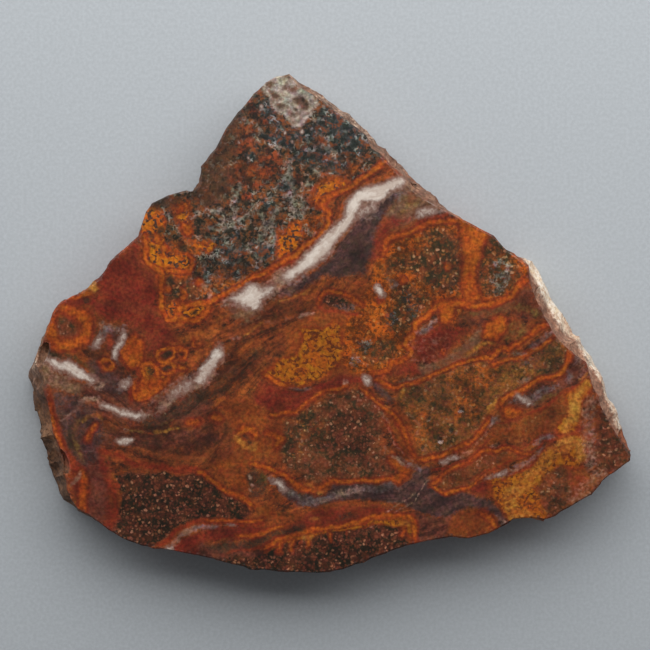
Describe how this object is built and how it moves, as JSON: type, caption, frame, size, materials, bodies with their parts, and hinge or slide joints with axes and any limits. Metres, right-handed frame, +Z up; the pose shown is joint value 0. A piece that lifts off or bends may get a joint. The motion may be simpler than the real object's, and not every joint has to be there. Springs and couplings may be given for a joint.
{
  "type": "polished ferruginous quartz slab",
  "caption": "Flat slab of red-brown ferruginous quartz with a polished face, broken side walls and a flat sawn underside that it rests on.",
  "frame": {"origin": "centre of the bounding box, on the sawn underside", "axes": "+X along the longest side, +Y to the pointed end of the outline, +Z up out of the polished face"},
  "size_m": [0.0918, 0.0757, 0.009],
  "materials": {
    "polished_stone": "polished on the face, broken on the walls, sawn on the underside"
  },
  "bodies": {
    "root": {"ferruginous_quartz": "polished_stone"}
  },
  "joints": []
}
